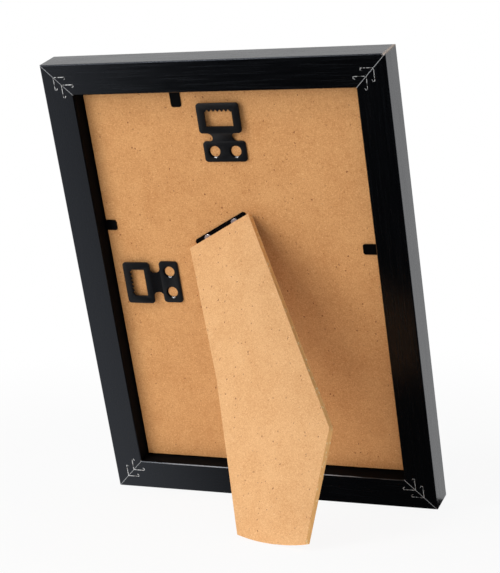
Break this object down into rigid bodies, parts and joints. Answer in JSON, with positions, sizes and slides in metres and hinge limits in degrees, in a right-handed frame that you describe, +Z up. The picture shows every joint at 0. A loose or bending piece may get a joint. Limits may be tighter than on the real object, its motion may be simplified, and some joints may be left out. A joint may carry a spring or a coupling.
{
  "type": "easel back photo frame",
  "caption": "Mitred black wooden photo frame leaning on a hinged diagonal fibreboard leg, with a back panel held by bendable points and sawtooth hangers for both ways up.",
  "frame": {"origin": "on the floor, under the middle of the standing object's box", "axes": "+Z up; the picture faces -Y and leans back; the leg's foot is at +Y; +X is right as seen from the picture side"},
  "size_m": [0.16, 0.1042, 0.2037],
  "materials": {
    "rail_lacquer": "satin black lacquer",
    "fibreboard": "bare smooth hardboard, tan with fine fibre specks",
    "black_steel": "black coated sheet steel",
    "bright_steel": "bare bright steel",
    "glass": "clear float glass",
    "print_paper": "plain photo paper"
  },
  "bodies": {
    "frame": {"rail_top": "rail_lacquer", "rail_bottom": "rail_lacquer", "rail_right": "rail_lacquer", "rail_left": "rail_lacquer", "v_nails_top_right": "bright_steel", "v_nails_bottom_right": "bright_steel", "v_nails_bottom_left": "bright_steel", "v_nails_top_left": "bright_steel", "tab_shank_top": "black_steel", "tab_shank_bottom": "black_steel", "tab_shank_right": "black_steel", "tab_shank_left": "black_steel", "glazing": "glass", "print_sheet": "print_paper", "backing_board": "fibreboard", "hanger_top": "black_steel", "hanger_side": "black_steel", "hinge_board_leaf": "black_steel", "hinge_pin": "black_steel", "hinge_board_rivets": "bright_steel"},
    "leg": {"easel_leg": "fibreboard", "hinge_leg_leaf": "black_steel", "hinge_leg_rivets": "bright_steel"},
    "tab_top": {"tab_blade_top": "black_steel"},
    "tab_bottom": {"tab_blade_bottom": "black_steel"},
    "tab_right": {"tab_blade_right": "black_steel"},
    "tab_left": {"tab_blade_left": "black_steel"}
  },
  "joints": [
    {"name": "leg_hinge", "type": "hinge", "parent": "frame", "child": "leg", "pos_m": [0.006, -0.0049, 0.12278], "axis": [0.8796, -0.1478, -0.4521], "range_deg": [-34.6, 0]},
    {"name": "tab_bend_top", "type": "hinge", "parent": "frame", "child": "tab_top", "pos_m": [0.0201, 0.0154, 0.18803], "axis": [1, 0, 0], "range_deg": [0, 90]},
    {"name": "tab_bend_bottom", "type": "hinge", "parent": "frame", "child": "tab_bottom", "pos_m": [-0.012, -0.04098, 0.01556], "axis": [-1, 0, 0], "range_deg": [0, 90]},
    {"name": "tab_bend_right", "type": "hinge", "parent": "frame", "child": "tab_right", "pos_m": [0.06573, -0.00424, 0.12793], "axis": [0, -0.3107, -0.9505], "range_deg": [0, 90]},
    {"name": "tab_bend_left", "type": "hinge", "parent": "frame", "child": "tab_left", "pos_m": [-0.06573, -0.00741, 0.11824], "axis": [0, 0.3107, 0.9505], "range_deg": [0, 90]}
  ]
}
